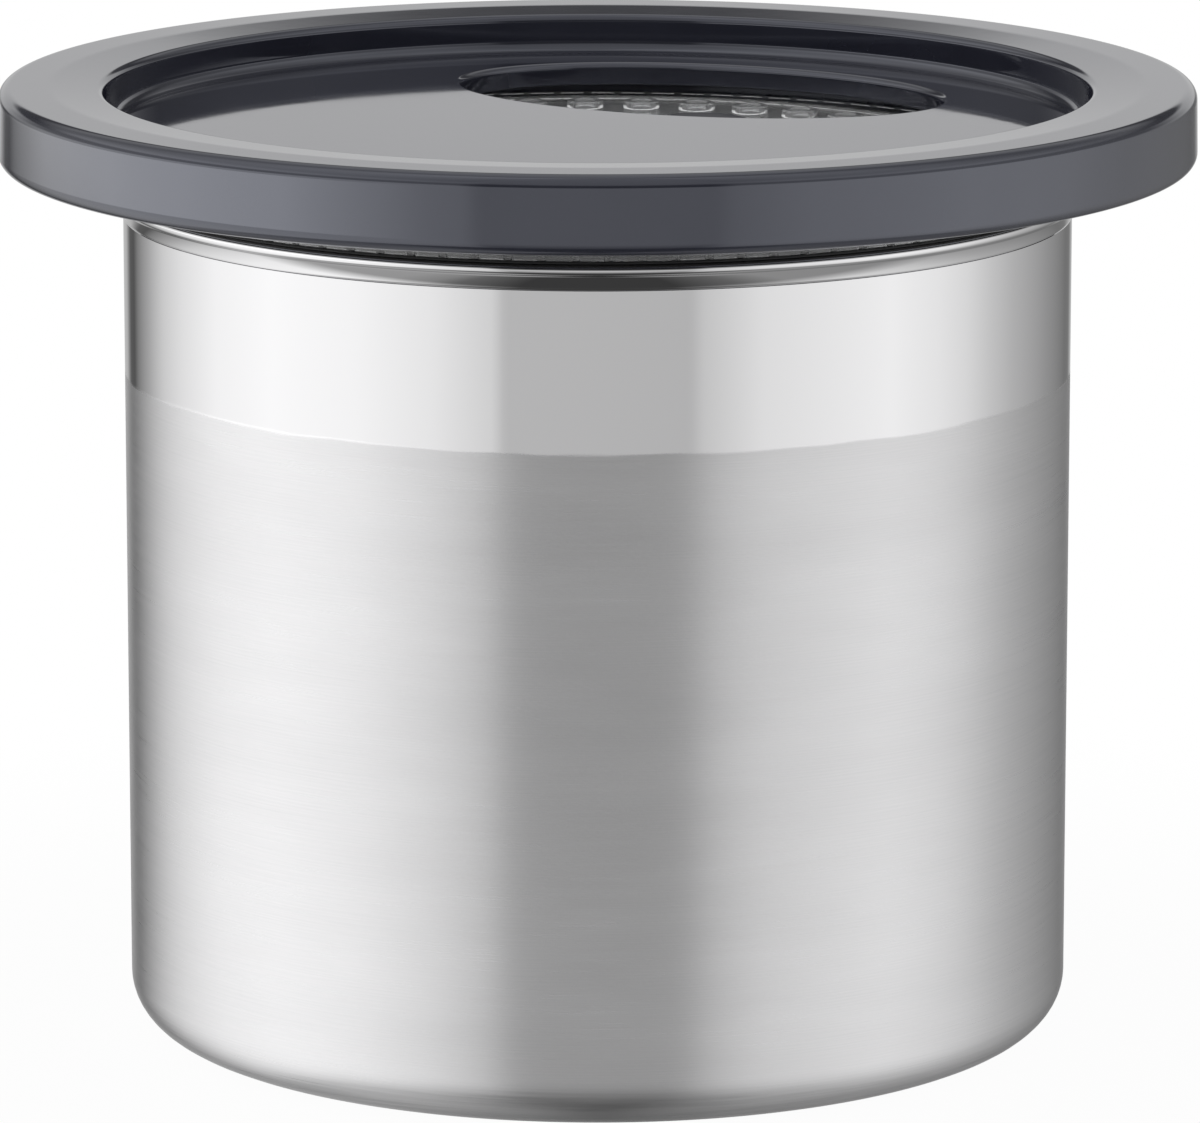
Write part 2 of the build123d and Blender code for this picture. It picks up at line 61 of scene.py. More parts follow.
# Levels, read from the frame
CAN_TOP = heights_of("can_body")[1]
COVER_BOTTOM, COVER_TOP = heights_of("lid_cover")
DISC_BOTTOM = heights_of("cam_sleeve")[1]
SEAL_BOTTOM, PLATE_BOTTOM = heights_of("seat_gasket")
FLOOR_TOP = heights_of("cylinder_seal")[0]
SKIRT_BOTTOM = heights_of("cylinder_seal")[1]
LIP_SEAL_BOTTOM, LIP_SEAL_TOP = heights_of("rim_gasket")
BUTTON_BOTTOM, BUTTON_TOP = heights_of("release_button")
GUIDE_BOTTOM = heights_of("retaining_clip")[1] + 0.2
PIN_LEVEL = sum(heights_of("cross_pin")) / 2

# Main sizes of the pieces modelled here
CAN_RADIUS = 50.0
CAN_WALL = 0.7
RECESS_RADIUS = 51.8
COVER_RADIUS = 63.1
FLANGE_WALL = 2.2
FLANGE_BOTTOM = 92.8
DISC_THICKNESS = 2.5
DISC_TOP = DISC_BOTTOM + DISC_THICKNESS
PLATE_THICKNESS = 1.7
PLATE_TOP = PLATE_BOTTOM + PLATE_THICKNESS
PLATE_RADIUS = 51.4
SKIRT_RADIUS = 47.2
WINDOW_CENTRE = 26.3
WINDOW_HALF_WIDTH = 27.4
WINDOW_HALF_DEPTH = 17.7

# How finely the shapes are cut: steps round a lathe, and degrees for each step of a fillet
LATHE_STEPS = 256
LARGE_FILLET = 1.0
LARGE_FILLET_STEP = 7
SMALL_FILLET_STEP = 13

# The hold beside a fillet, the angle above which an edge stays sharp, and how near points merge
HOLD = 0.12
SHARP_ANGLE = math.radians(32)
MERGE_REACH = 0.002


def round_off(corners, closed):
    """Outline points for corners of (radius, height, fillet), with a hold beside each arc."""
    points = []
    for place, (radius, height, fillet) in enumerate(corners):
        here = Vector((radius, height))
        open_end = not closed and place in (0, len(corners) - 1)
        if fillet == 0 or open_end:
            points.append(here)
            continue
        before = (Vector(corners[place - 1][:2]) - here).normalized()
        after = (Vector(corners[(place + 1) % len(corners)][:2]) - here).normalized()
        opening = before.angle(after)
        reach = fillet / math.tan(opening / 2)
        centre = here + (before + after).normalized() * fillet / math.sin(opening / 2)
        first = here + before * reach - centre
        last = here + after * reach - centre
        turn = math.pi - opening
        step_angle = LARGE_FILLET_STEP if fillet > LARGE_FILLET else SMALL_FILLET_STEP
        steps = max(3, round(math.degrees(turn) / step_angle))
        points.append(here + before * (reach + HOLD))
        for step in range(steps + 1):
            share = step / steps
            arm = first * math.sin((1 - share) * turn) + last * math.sin(share * turn)
            points.append(centre + arm / math.sin(turn))
        points.append(here + after * (reach + HOLD))
    return points


def arc(centre, radius, first_angle, last_angle, steps):
    """Points along an arc, with angles in degrees up from the outward direction."""
    points = []
    for step in range(steps + 1):
        angle = math.radians(first_angle + (last_angle - first_angle) * step / steps)
        points.append(centre + radius * Vector((math.cos(angle), math.sin(angle))))
    return points


def bend(first, middle, last, steps):
    """Points along a smooth bend from the first point to the last, drawn towards the middle one."""
    points = []
    for step in range(steps + 1):
        share = step / steps
        points.append(first.lerp(middle, share).lerp(middle.lerp(last, share), share))
    return points


def choose(piece):
    """The piece alone is selected and active."""
    bpy.ops.object.select_all(action="DESELECT")
    piece.select_set(True)
    bpy.context.view_layer.objects.active = piece


def lathe(name, points, closed=True, steps=LATHE_STEPS):
    """One vertex is extruded along an outline and spun round the upright axis."""
    bpy.ops.object.select_all(action="DESELECT")
    bpy.ops.mesh.primitive_plane_add(size=MM)
    piece = bpy.context.object
    piece.name = name
    bpy.ops.object.mode_set(mode="EDIT")
    bpy.ops.mesh.select_all(action="SELECT")
    bpy.ops.mesh.merge(type="CENTER")
    start = points[0]
    bpy.ops.transform.translate(value=(start.x * MM, 0, start.y * MM))
    track = list(points[1:]) + ([start] if closed else [])
    for point in track:
        step = (point - start) * MM
        bpy.ops.mesh.extrude_region_move(TRANSFORM_OT_translate={"value": (step.x, 0, step.y)})
        start = point
    bpy.ops.mesh.select_all(action="SELECT")
    bpy.ops.mesh.spin(steps=steps, angle=2 * math.pi, center=(0, 0, 0), axis=(0, 0, 1))
    bpy.ops.mesh.select_all(action="SELECT")
    bpy.ops.mesh.remove_doubles(threshold=MERGE_REACH * MM)
    bpy.ops.mesh.normals_make_consistent(inside=False)
    bpy.ops.object.mode_set(mode="OBJECT")
    return piece


def rod(name, radius, low, high, place, steps):
    """An upright round tool at a place given as (x, y)."""
    outline = [Vector(point) for point in ((0, low), (radius, low), (radius, high), (0, high))]
    piece = lathe(name, outline, False, steps)
    move_mesh(piece, place[0], place[1], 0)
    return piece


def carve(piece, tool, operation):
    """The tool's shape is cut from the piece, or joined to it, and the tool goes."""
    modifier = piece.modifiers.new("carve", "BOOLEAN")
    modifier.operation = operation
    modifier.solver = "EXACT"
    modifier.object = tool
    choose(piece)
    bpy.ops.object.modifier_apply(modifier=modifier.name)
    bpy.data.objects.remove(tool, do_unlink=True)


def join(pieces):
    """The pieces become one mesh."""
    bpy.ops.object.select_all(action="DESELECT")
    for piece in pieces:
        piece.select_set(True)
    bpy.context.view_layer.objects.active = pieces[0]
    bpy.ops.object.join()
    return pieces[0]


def copy_round(piece, count, first_angle=0.0):
    """Copies of a piece at even angles round the upright axis, each with its own mesh."""
    copies = []
    for number in range(count):
        copy = piece.copy()
        copy.data = piece.data.copy()
        bpy.context.collection.objects.link(copy)
        angle = math.radians(first_angle) + 2 * math.pi * number / count
        copy.data.transform(Matrix.Rotation(angle, 4, "Z"))
        copies.append(copy)
    bpy.data.objects.remove(piece, do_unlink=True)
    return copies


def move_mesh(piece, x, y, z):
    """The mesh is moved, and the piece's own origin stays where it is."""
    piece.data.transform(Matrix.Translation((x * MM, y * MM, z * MM)))


def block(name, size, place, bevel):
    """A small moulded block with rounded edges."""
    bpy.ops.object.select_all(action="DESELECT")
    bpy.ops.mesh.primitive_cube_add(size=MM, scale=size, location=[c * MM for c in place])
    piece = bpy.context.object
    piece.name = name
    bpy.ops.object.transform_apply(location=True, rotation=True, scale=True)
    bpy.ops.object.mode_set(mode="EDIT")
    bpy.ops.mesh.select_all(action="SELECT")
    bpy.ops.mesh.bevel(offset=bevel * MM, segments=2, affect="EDGES")
    bpy.ops.object.mode_set(mode="OBJECT")
    return piece


def dress(piece, material):
    piece.data.materials.clear()
    piece.data.materials.append(material)


def install(piece, material, node, body):
    """The finished piece is shaded, stands for its node and moves with its body."""
    choose(piece)
    bpy.ops.object.shade_smooth_by_angle(angle=SHARP_ANGLE)
    dress(piece, material)
    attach(piece, body)
    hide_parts(node)


# Material helpers

def new_material(name):
    material = bpy.data.materials.new(name)
    material.use_nodes = True
    return material


def add(material, kind, **settings):
    node = material.node_tree.nodes.new(kind)
    for key, value in settings.items():
        setattr(node, key, value)
    return node


def wire(material, source, target):
    material.node_tree.links.new(source, target)


def surface_of(material):
    return material.node_tree.nodes["Principled BSDF"]


def noise_on_object(material, stretch, detail, roughness=0.5):
    """Noise read from the piece's own coordinates, in waves per metre along each axis."""
    place = add(material, "ShaderNodeTexCoord")
    mapping = add(material, "ShaderNodeMapping")
    mapping.inputs["Scale"].default_value = stretch
    noise = add(material, "ShaderNodeTexNoise")
    noise.inputs["Scale"].default_value = 1.0
    noise.inputs["Detail"].default_value = detail
    noise.inputs["Roughness"].default_value = roughness
    wire(material, place.outputs["Object"], mapping.inputs["Vector"])
    wire(material, mapping.outputs["Vector"], noise.inputs["Vector"])
    return noise.outputs["Fac"]


def spread(material, source, low, high, from_low=0.3, from_high=0.7, smoothly=False):
    """A source between two levels, spread over another range."""
    change = add(material, "ShaderNodeMapRange")
    if smoothly:
        change.interpolation_type = "SMOOTHSTEP"
    change.inputs["From Min"].default_value = from_low
    change.inputs["From Max"].default_value = from_high
    change.inputs["To Min"].default_value = low
    change.inputs["To Max"].default_value = high
    wire(material, source, change.inputs["Value"])
    return change.outputs["Result"]


def combine(material, operation, first, second):
    """Two values made one by a sum, a product or the larger of them."""
    node = add(material, "ShaderNodeMath", operation=operation)
    wire(material, first, node.inputs[0])
    wire(material, second, node.inputs[1])
    return node.outputs["Value"]


def raise_surface(material, height, distance):
    """Bump from a height between nought and one; the distance is in metres."""
    bump = add(material, "ShaderNodeBump")
    bump.inputs["Distance"].default_value = distance
    bump.inputs["Strength"].default_value = 1.0
    wire(material, height, bump.inputs["Height"])
    wire(material, bump.outputs["Normal"], surface_of(material).inputs["Normal"])


def tint(material, source, low, high):
    """A colour between two close tones, picked by a source between nought and one."""
    ramp = add(material, "ShaderNodeValToRGB")
    ramp.color_ramp.elements[0].position = 0.3
    ramp.color_ramp.elements[1].position = 0.7
    ramp.color_ramp.elements[0].color = (*low, 1)
    ramp.color_ramp.elements[1].color = (*high, 1)
    wire(material, source, ramp.inputs["Fac"])
    wire(material, ramp.outputs["Color"], surface_of(material).inputs["Base Color"])


def steel_of_can():
    """Steel with a polished band above and fine brushing round the can below, inside and out."""
    band_edge = (0.0704, 0.0709)
    polished_roughness = 0.035
    material = new_material("can_steel")
    shader = surface_of(material)
    shader.inputs["Metallic"].default_value = 1.0
    shader.inputs["Anisotropic"].default_value = 0.85
    shader.inputs["Anisotropic Rotation"].default_value = 0.25
    tangent = add(material, "ShaderNodeTangent", direction_type="RADIAL", axis="Z")
    wire(material, tangent.outputs["Tangent"], shader.inputs["Tangent"])
    place = add(material, "ShaderNodeTexCoord")
    split = add(material, "ShaderNodeSeparateXYZ")
    wire(material, place.outputs["Object"], split.inputs["Vector"])
    unevenness = noise_on_object(material, (60, 60, 900), 4)
    wander = spread(material, unevenness, -0.0003, 0.0003, 0.25, 0.75)
    level = combine(material, "ADD", split.outputs["Z"], wander)
    brushed = spread(material, level, 1, 0, *band_edge, True)
    streaks = noise_on_object(material, (70, 70, 6000), 5, 0.65)
    clouds = noise_on_object(material, (35, 35, 160), 3)
    streak_rough = spread(material, streaks, 0.27, 0.37)
    cloud_rough = spread(material, clouds, -0.02, 0.02)
    brushed_rough = combine(material, "ADD", streak_rough, cloud_rough)
    mix_rough = add(material, "ShaderNodeMix", data_type="FLOAT")
    mix_rough.inputs["A"].default_value = polished_roughness
    wire(material, brushed, mix_rough.inputs["Factor"])
    wire(material, brushed_rough, mix_rough.inputs["B"])
    wire(material, mix_rough.outputs["Result"], shader.inputs["Roughness"])
    tone = add(material, "ShaderNodeMix", data_type="FLOAT")
    tone.inputs["A"].default_value = 0.5
    wire(material, brushed, tone.inputs["Factor"])
    wire(material, streaks, tone.inputs["B"])
    tint(material, tone.outputs["Result"], (0.53, 0.53, 0.535), (0.61, 0.605, 0.61))
    raise_surface(material, combine(material, "MULTIPLY", streaks, brushed), 0.000004)
    return material


def cover_plastic():
    """Glossy slate plastic with a cool gloss and the faint unevenness of a large moulding."""
    material = new_material("cover_plastic")
    shader = surface_of(material)
    clouds = noise_on_object(material, (90, 90, 90), 2)
    tint(material, clouds, (0.023, 0.024, 0.035), (0.027, 0.028, 0.040))
    wire(material, spread(material, clouds, 0.035, 0.06), shader.inputs["Roughness"])
    shader.inputs["IOR"].default_value = 1.8
    shader.inputs["Specular Tint"].default_value = (0.86, 0.89, 1.0, 1.0)
    raise_surface(material, noise_on_object(material, (500, 500, 500), 2), 0.0000015)
    return material


def clear_plastic(name, roughness):
    """Clear moulding with faint flow lines."""
    material = new_material(name)
    shader = surface_of(material)
    shader.inputs["Transmission Weight"].default_value = 0.85
    shader.inputs["IOR"].default_value = 1.49
    flow = noise_on_object(material, (60, 60, 240), 3)
    tint(material, flow, (0.84, 0.85, 0.86), (0.90, 0.905, 0.91))
    wire(material, spread(material, flow, roughness, roughness + 0.04), shader.inputs["Roughness"])
    raise_surface(material, noise_on_object(material, (350, 350, 350), 2), 0.00002)
    return material


def moulded_plastic(name, low, high, roughness, grain):
    """Opaque plastic or rubber with a fine moulded grain."""
    material = new_material(name)
    shader = surface_of(material)
    clouds = noise_on_object(material, (180, 180, 180), 3)
    tint(material, clouds, low, high)
    wire(material, spread(material, clouds, roughness, roughness + 0.1), shader.inputs["Roughness"])
    raise_surface(material, noise_on_object(material, (grain,) * 3, 2), 0.00001)
    return material


def drawn_steel():
    """Bright drawn steel for the pin, clip, screws, spring and screen."""
    material = new_material("spring_steel")
    shader = surface_of(material)
    shader.inputs["Metallic"].default_value = 1.0
    marks = noise_on_object(material, (900, 900, 900), 3)
    tint(material, marks, (0.54, 0.54, 0.55), (0.62, 0.62, 0.63))
    wire(material, spread(material, marks, 0.16, 0.28), shader.inputs["Roughness"])
    raise_surface(material, marks, 0.000006)
    return material


STEEL = steel_of_can()
COVER = cover_plastic()
CLEAR = clear_plastic("clear_plastic", 0.1)
BARREL = clear_plastic("barrel_plastic", 0.08)
SLATE = moulded_plastic("slate_matte", (0.024, 0.025, 0.034), (0.030, 0.031, 0.041), 0.32, 1500)
ACETAL = moulded_plastic("white_acetal", (0.58, 0.58, 0.56), (0.64, 0.64, 0.62), 0.32, 1200)
DARK_RUBBER = moulded_plastic("dark_silicone", (0.007, 0.007, 0.008), (0.01, 0.01, 0.011), 0.5, 2000)
GREY_RUBBER = moulded_plastic("grey_silicone", (0.17, 0.175, 0.18), (0.21, 0.215, 0.22), 0.45, 2000)
SPRING = drawn_steel()


# Steel can: pushed-up base, straight wall, a fine groove under the flare, and the rolled bead

BASE_LIFT = 1.5
BASE_STEP = 38.5
STANDING_RING = 40.5
BASE_CORNER = 5.5
STEP_FILLETS = (1.5, 0.8)
GROOVE_DEPTH = 0.045
BEAD_RADIUS = 0.7
BEAD_CENTRE = Vector((50.35, CAN_TOP - BEAD_RADIUS))
BEAD_TURN = (-62, 205)
FLARE_FOOT = 87.3
flare_top = arc(BEAD_CENTRE, BEAD_RADIUS, *BEAD_TURN, 1)[0]
flare_middle = Vector((CAN_RADIUS + 0.25, FLARE_FOOT + 0.75))
can_outline = round_off(
    [
        (0, BASE_LIFT, 0),
        (BASE_STEP, BASE_LIFT, STEP_FILLETS[0]),
        (STANDING_RING, 0, STEP_FILLETS[1]),
        (CAN_RADIUS, 0, BASE_CORNER),
        (CAN_RADIUS, FLARE_FOOT - 0.24, 0),
        (CAN_RADIUS, FLARE_FOOT - 0.12, 0),
        (CAN_RADIUS - GROOVE_DEPTH, FLARE_FOOT - 0.06, 0),
    ],
    False,
)
can_outline += bend(Vector((CAN_RADIUS, FLARE_FOOT)), flare_middle, flare_top, 10)[:-1]
can_outline += arc(BEAD_CENTRE, BEAD_RADIUS, *BEAD_TURN, 20)
can_outline += round_off(
    [
        (49.7, CAN_TOP - 1.1, 0),
        (CAN_RADIUS - CAN_WALL, CAN_TOP - 2.8, 1.5),
        (CAN_RADIUS - CAN_WALL, CAN_WALL, BASE_CORNER - CAN_WALL),
        (STANDING_RING, CAN_WALL, STEP_FILLETS[1]),
        (BASE_STEP, BASE_LIFT + CAN_WALL, STEP_FILLETS[0]),
        (0, BASE_LIFT + CAN_WALL, 0),
    ],
    False,
)
can = lathe("steel_can", can_outline, closed=False)
install(can, STEEL, "can_body", "can")


# Turning cover: the recess, the flange with its flat crest and ribs, and the oval window

DISC_EDGE = 49.4
EDGE_FALL = 0.38
EDGE_LEVEL = COVER_TOP - EDGE_FALL
CREST_RADIUS = 57.6
CREST_FILLET = 12
FLANGE_FILLET = 1.3
RECESS_EDGE_FILLET = 0.75
INSIDE_FILLET = 0.6
THIN_EDGE_FILLET = 0.25
WALL_DRAFT = 0.1
SIDE_DRAFT = 0.14
cover_outline = round_off(
    [
        (DISC_EDGE, DISC_TOP, 0),
        (RECESS_RADIUS - WALL_DRAFT, DISC_TOP, FLANGE_FILLET),
        (RECESS_RADIUS + WALL_DRAFT, EDGE_LEVEL, RECESS_EDGE_FILLET),
        (CREST_RADIUS, COVER_TOP, CREST_FILLET),
        (COVER_RADIUS - SIDE_DRAFT, COVER_TOP, FLANGE_FILLET),
        (COVER_RADIUS, FLANGE_BOTTOM, FLANGE_FILLET),
        (COVER_RADIUS - FLANGE_WALL, FLANGE_BOTTOM, THIN_EDGE_FILLET),
        (COVER_RADIUS - FLANGE_WALL, COVER_TOP - FLANGE_WALL, INSIDE_FILLET),
        (RECESS_RADIUS + FLANGE_WALL, COVER_TOP - FLANGE_WALL, INSIDE_FILLET),
        (RECESS_RADIUS + FLANGE_WALL, COVER_BOTTOM, THIN_EDGE_FILLET),
        (RECESS_RADIUS, COVER_BOTTOM, THIN_EDGE_FILLET),
        (RECESS_RADIUS, DISC_BOTTOM, 0.2),
        (DISC_EDGE, DISC_BOTTOM, 0),
    ],
    False,
)
cover = lathe("turning_cover", cover_outline, closed=False)


def select_open_loops(mesh, level):
    """Selects the open edges that lie at one level."""
    for vertex in mesh.verts:
        vertex.select = False
    for edge in mesh.edges:
        at_level = all(abs(end.co.z - level * MM) < 0.01 * MM for end in edge.verts)
        edge.select = edge.is_boundary and at_level
    mesh.select_flush(True)


def oval_step(from_reach, to_reach, rise):
    """The open oval is extruded and resized, from one reach beyond the window's edge to another."""
    bpy.ops.mesh.extrude_region_move(TRANSFORM_OT_translate={"value": (0, 0, rise * MM)})
    wider = (WINDOW_HALF_WIDTH + to_reach) / (WINDOW_HALF_WIDTH + from_reach)
    deeper = (WINDOW_HALF_DEPTH + to_reach) / (WINDOW_HALF_DEPTH + from_reach)
    bpy.ops.transform.resize(value=(wider, deeper, 1), center_override=(0, WINDOW_CENTRE * MM, 0))


WINDOW_FILLET = 0.7
WINDOW_FILLET_STEPS = 7
WINDOW_UNDER_FILLET = 0.2
WINDOW_UNDER_STEPS = 4
window_reach = WINDOW_FILLET + HOLD
choose(cover)
bpy.ops.object.mode_set(mode="EDIT")
bpy.ops.mesh.select_all(action="DESELECT")
bpy.ops.mesh.primitive_circle_add(
    vertices=LATHE_STEPS, radius=MM, location=(0, WINDOW_CENTRE * MM, DISC_TOP * MM)
)
bpy.ops.transform.resize(
    value=(WINDOW_HALF_WIDTH + window_reach, WINDOW_HALF_DEPTH + window_reach, 1),
    center_override=(0, WINDOW_CENTRE * MM, 0),
)
oval_step(window_reach, WINDOW_FILLET, 0)
reach, depth = WINDOW_FILLET, 0.0
for step in range(1, WINDOW_FILLET_STEPS + 1):
    angle = math.radians(90 * step / WINDOW_FILLET_STEPS)
    new_reach = WINDOW_FILLET * (1 - math.sin(angle))
    new_depth = WINDOW_FILLET * (1 - math.cos(angle))
    oval_step(reach, new_reach, depth - new_depth)
    reach, depth = new_reach, new_depth
window_wall = DISC_TOP - DISC_BOTTOM - WINDOW_FILLET - WINDOW_UNDER_FILLET
for rise in (-HOLD, 2 * HOLD - window_wall, -HOLD):
    oval_step(0, 0, rise)
reach, depth = 0.0, 0.0
for step in range(1, WINDOW_UNDER_STEPS + 1):
    angle = math.radians(90 * step / WINDOW_UNDER_STEPS)
    new_reach = WINDOW_UNDER_FILLET * (1 - math.cos(angle))
    new_depth = WINDOW_UNDER_FILLET * math.sin(angle)
    oval_step(reach, new_reach, depth - new_depth)
    reach, depth = new_reach, new_depth
oval_step(reach, reach + HOLD, 0)
for level in (DISC_TOP, DISC_BOTTOM):
    mesh = bmesh.from_edit_mesh(cover.data)
    select_open_loops(mesh, level)
    bmesh.update_edit_mesh(cover.data)
    bpy.ops.mesh.fill(use_beauty=False)
bpy.ops.mesh.select_all(action="SELECT")
bpy.ops.mesh.remove_doubles(threshold=MERGE_REACH * MM)
bpy.ops.mesh.normals_make_consistent(inside=False)
bpy.ops.object.mode_set(mode="OBJECT")

RIB_BOTTOM = FLANGE_BOTTOM + 2
RIB_TOP = COVER_TOP - FLANGE_WALL + 0.05
RIB_PLACE = (RECESS_RADIUS + COVER_RADIUS) / 2
RIB_LENGTH = 7.0
RIB_THICKNESS = 1.4
RIB_COUNT = 24
rib = block(
    "cover_rib",
    (RIB_LENGTH, RIB_THICKNESS, RIB_TOP - RIB_BOTTOM),
    (RIB_PLACE, 0, (RIB_TOP + RIB_BOTTOM) / 2),
    0.2,
)
STAKE_RADIUS = 1.1
STAKE_END = DISC_BOTTOM - 1.2
STAKE_ROOT = DISC_BOTTOM + 0.1
STAKE_RING = 10.6
STAKE_COUNT = 3
stake_outline = [
    (0, STAKE_END, 0),
    (STAKE_RADIUS, STAKE_END, 0.25),
    (STAKE_RADIUS, STAKE_ROOT, 0),
    (0, STAKE_ROOT, 0),
]
stake = lathe("stake", round_off(stake_outline, False), False, 24)
move_mesh(stake, STAKE_RING, 0, 0)
cover = join([cover] + copy_round(rib, RIB_COUNT) + copy_round(stake, STAKE_COUNT, 30))
install(cover, COVER, "lid_cover", "cover")


# Clear plug lid: notched plate, skirt with two ledges, guide tube, posts and hollow bosses

GUIDE_BORE = 6.46
GUIDE_RADIUS = 8.4
SKIRT_BORE = 45.2
LEDGE_RADIUS = 48.4
LEDGE_HEIGHT = 1.2
COLLAR_WALL = 0.6
COLLAR_TOP = PLATE_TOP + 0.4
lid_outline = round_off(
    [
        (GUIDE_BORE, GUIDE_BOTTOM, 0.15),
        (GUIDE_RADIUS, GUIDE_BOTTOM, 0.15),
        (GUIDE_RADIUS, PLATE_BOTTOM, 0.3),
        (SKIRT_BORE, PLATE_BOTTOM, 0.3),
        (SKIRT_BORE, SKIRT_BOTTOM, 0.2),
        (SKIRT_RADIUS, SKIRT_BOTTOM, 0.3),
        (SKIRT_RADIUS, LIP_SEAL_BOTTOM - LEDGE_HEIGHT, 0.15),
        (LEDGE_RADIUS, LIP_SEAL_BOTTOM - LEDGE_HEIGHT, 0.2),
        (LEDGE_RADIUS, LIP_SEAL_BOTTOM, 0.2),
        (SKIRT_RADIUS, LIP_SEAL_BOTTOM, 0.15),
        (SKIRT_RADIUS, LIP_SEAL_TOP, 0.15),
        (LEDGE_RADIUS, LIP_SEAL_TOP, 0.2),
        (LEDGE_RADIUS, LIP_SEAL_TOP + LEDGE_HEIGHT, 0.2),
        (SKIRT_RADIUS, LIP_SEAL_TOP + LEDGE_HEIGHT, 0.15),
        (SKIRT_RADIUS, PLATE_BOTTOM, 0.3),
        (PLATE_RADIUS, PLATE_BOTTOM, 0.2),
        (PLATE_RADIUS, PLATE_TOP, 0.35),
        (SKIRT_BORE + COLLAR_WALL, PLATE_TOP, 0.12),
        (SKIRT_BORE + COLLAR_WALL, COLLAR_TOP, 0.15),
        (SKIRT_BORE, COLLAR_TOP, 0.15),
        (SKIRT_BORE, PLATE_TOP, 0.12),
        (GUIDE_BORE, PLATE_TOP, 0.15),
    ],
    True,
)
clear_lid = lathe("clear_plug_lid", lid_outline)

BOSS_BORE = 1.1
BOSS_RADIUS = 2.0
BOSS_ROOT = PLATE_TOP - 0.4
BOSS_TOP = PLATE_TOP + 0.8
BOSS_RING = 39.5
BOSS_COUNT = 40
boss_outline = [
    (BOSS_BORE, BOSS_ROOT, 0),
    (BOSS_BORE, BOSS_TOP, 0.25),
    (BOSS_RADIUS, BOSS_TOP, 0.25),
    (BOSS_RADIUS, BOSS_ROOT, 0),
]
boss = lathe("boss", round_off(boss_outline, True), steps=32)
move_mesh(boss, BOSS_RING, 0, 0)
carve(clear_lid, join(copy_round(boss, BOSS_COUNT)), "UNION")

NOTCH_RADIUS = 0.5
NOTCH_COUNT = 96
VENT_RADIUS = 1.2
VENT_RING = 12.2
VENT_COUNT = 6
WELL_RADIUS = 5.8
through_plate = (PLATE_BOTTOM - 1, PLATE_TOP + 1)
notch = rod("notch", NOTCH_RADIUS, *through_plate, (PLATE_RADIUS + 0.15, 0), 16)
vent = rod("vent", VENT_RADIUS, *through_plate, (VENT_RING, 0), 32)
well = rod("well", WELL_RADIUS, *through_plate, (0, WINDOW_CENTRE), 64)
holes = join(copy_round(notch, NOTCH_COUNT) + copy_round(vent, VENT_COUNT) + [well])
carve(clear_lid, holes, "DIFFERENCE")

POST_BORE = 1.35
POST_RADIUS = 3.2
POST_BORE_TOP = FLOOR_TOP + 11
POST_ROOT = PLATE_BOTTOM + 0.7
POST_RING = 34.0
POST_COUNT = 4
post_outline = [
    (0, POST_BORE_TOP),
    (POST_BORE, POST_BORE_TOP),
    (POST_BORE, FLOOR_TOP),
    (POST_RADIUS, FLOOR_TOP),
    (POST_RADIUS, POST_ROOT),
    (0, POST_ROOT),
]
post = lathe("post", [Vector(point) for point in post_outline], False, 40)
move_mesh(post, POST_RING, 0, 0)
carve(clear_lid, join(copy_round(post, POST_COUNT, 45)), "UNION")

PIN_STROKE = 6.0
PIN_SLOT_RADIUS = 1.45
PIN_SLOT_LENGTH = 20
bpy.ops.object.select_all(action="DESELECT")
bpy.ops.mesh.primitive_cylinder_add(
    vertices=32,
    radius=PIN_SLOT_RADIUS * MM,
    depth=PIN_SLOT_LENGTH * MM,
    location=(0, 0, PIN_LEVEL * MM),
    rotation=(0, math.radians(90), 0),
)
pin_slot = bpy.context.object
bpy.ops.object.transform_apply(location=True, rotation=True, scale=True)
for vertex in pin_slot.data.vertices:
    if vertex.co.z > (PIN_LEVEL + 0.01) * MM:
        vertex.co.z += PIN_STROKE * MM
carve(clear_lid, pin_slot, "DIFFERENCE")
install(clear_lid, CLEAR, "inner_lid", "lid")


# Seals and the release button

SEAL_BORE = 49.6
SEAL_RADIUS = 51.3
SEAL_FILLET = 0.07
seal_corners = [
    (SEAL_BORE, SEAL_BOTTOM, SEAL_FILLET),
    (SEAL_RADIUS, SEAL_BOTTOM, SEAL_FILLET),
    (SEAL_RADIUS, PLATE_BOTTOM, SEAL_FILLET),
    (SEAL_BORE, PLATE_BOTTOM, SEAL_FILLET),
]
seat_seal = lathe("seat_seal", round_off(seal_corners, True))
install(seat_seal, DARK_RUBBER, "seat_gasket", "lid")

LIP_BODY = 48.3
LIP_REACH = 49.15
LIP_SHARES = (0.28, 0.72)
lip_corners = [(SKIRT_RADIUS, LIP_SEAL_BOTTOM, 0.1), (LIP_BODY, LIP_SEAL_BOTTOM, 0.2)]
for lip_share in LIP_SHARES:
    lip = LIP_SEAL_BOTTOM + lip_share * (LIP_SEAL_TOP - LIP_SEAL_BOTTOM)
    lip_corners += [
        (LIP_BODY, lip - 0.4, 0.15),
        (LIP_REACH, lip - 0.15, 0.12),
        (LIP_REACH, lip + 0.2, 0.12),
        (LIP_BODY, lip + 0.5, 0.2),
    ]
lip_corners += [(LIP_BODY, LIP_SEAL_TOP, 0.2), (SKIRT_RADIUS, LIP_SEAL_TOP, 0.1)]
lip_seal = lathe("lip_seal", round_off(lip_corners, True))
install(lip_seal, GREY_RUBBER, "rim_gasket", "lid")

